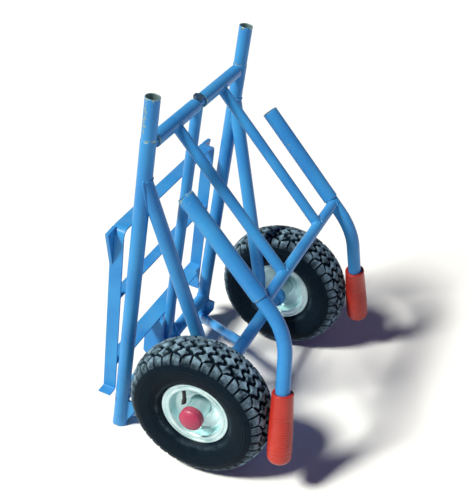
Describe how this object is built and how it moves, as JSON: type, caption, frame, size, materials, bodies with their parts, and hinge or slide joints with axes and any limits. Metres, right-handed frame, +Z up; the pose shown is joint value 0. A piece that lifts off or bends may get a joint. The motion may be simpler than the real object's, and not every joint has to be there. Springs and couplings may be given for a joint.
{
  "type": "folding hand truck",
  "caption": "Folding tubular steel hand truck with a swing-down handle frame, sliding locking sleeves, a hinged toe frame, pneumatic wheels and slip-on grips, shown folded.",
  "frame": {"origin": "on the floor under the middle of the folded truck's box, halfway between the lips and the grips", "axes": "+Z up, +X to the truck's left across the axle, -Y towards the toe frame, +Y towards the grips"},
  "size_m": [0.517, 0.3892, 0.6821],
  "materials": {
    "blue_paint": "gloss enamel, worn at the sliding ends",
    "red_grip": "soft moulded vinyl with fine ribs",
    "red_cap": "smooth moulded plastic",
    "tyre_rubber": "black rubber with block tread",
    "black_rubber": "plain black rubber",
    "zinc_plate": "bright zinc plate",
    "bare_steel": "turned or blackened steel"
  },
  "bodies": {
    "frame": {"axle_shaft": "bare_steel", "axle_tube": "blue_paint", "centre_bolt": "bare_steel", "centre_rail": "blue_paint", "hinge_bar": "blue_paint", "left_axle_clip": "bare_steel", "left_axle_collar": "blue_paint", "left_axle_washer": "bare_steel", "left_foot_brace": "blue_paint", "left_foot_gusset": "blue_paint", "left_strut": "blue_paint", "left_upright": "blue_paint", "rail_plug": "bare_steel", "right_axle_clip": "bare_steel", "right_axle_collar": "blue_paint", "right_axle_washer": "bare_steel", "right_foot_brace": "blue_paint", "right_foot_gusset": "blue_paint", "right_strut": "blue_paint", "right_upright": "blue_paint", "toe_hinge_tube": "blue_paint"},
    "left_wheel": {"left_tyre": "tyre_rubber", "left_inner_tube": "black_rubber", "left_rim_outer": "zinc_plate", "left_rim_inner": "zinc_plate", "left_hub": "zinc_plate", "left_wheel_bearings": "bare_steel", "left_hub_cap": "red_cap", "left_valve_stem": "black_rubber"},
    "right_wheel": {"right_tyre": "tyre_rubber", "right_inner_tube": "black_rubber", "right_rim_outer": "zinc_plate", "right_rim_inner": "zinc_plate", "right_hub": "zinc_plate", "right_wheel_bearings": "bare_steel", "right_hub_cap": "red_cap", "right_valve_stem": "black_rubber"},
    "left_sleeve": {"left_locking_sleeve": "blue_paint"},
    "right_sleeve": {"right_locking_sleeve": "blue_paint"},
    "toe": {"toe_frame": "blue_paint", "upper_toe_slat": "blue_paint", "lower_toe_slat": "blue_paint", "left_toe_lug": "blue_paint", "right_toe_lug": "blue_paint", "left_toe_wing": "blue_paint", "right_toe_wing": "blue_paint"},
    "handle": {"left_hinge_sleeve": "blue_paint", "right_hinge_sleeve": "blue_paint", "left_arm": "blue_paint", "right_arm": "blue_paint", "cross_bar": "blue_paint", "left_handle_tube": "blue_paint", "right_handle_tube": "blue_paint", "left_grip": "red_grip", "right_grip": "red_grip"}
  },
  "joints": [
    {"name": "left_wheel_spin", "type": "hinge", "parent": "frame", "child": "left_wheel", "pos_m": [0.203, 0.0186, 0.1315], "axis": [1, 0, 0], "continuous": true},
    {"name": "right_wheel_spin", "type": "hinge", "parent": "frame", "child": "right_wheel", "pos_m": [-0.203, 0.0186, 0.1315], "axis": [1, 0, 0], "continuous": true},
    {"name": "handle_fold", "type": "hinge", "parent": "frame", "child": "handle", "pos_m": [0, -0.07143, 0.5987], "axis": [1, 0, 0], "range_deg": [0, 131.8]},
    {"name": "toe_fold", "type": "hinge", "parent": "frame", "child": "toe", "pos_m": [0, -0.15745, 0.06762], "axis": [1, 0, 0], "range_deg": [0, 88.3]},
    {"name": "left_sleeve_slide", "type": "slide", "parent": "handle", "child": "left_sleeve", "axis": [0, -0.6293, 0.7771], "range_m": [0, 0.062]},
    {"name": "right_sleeve_slide", "type": "slide", "parent": "handle", "child": "right_sleeve", "axis": [0, -0.6293, 0.7771], "range_m": [0, 0.062]}
  ]
}
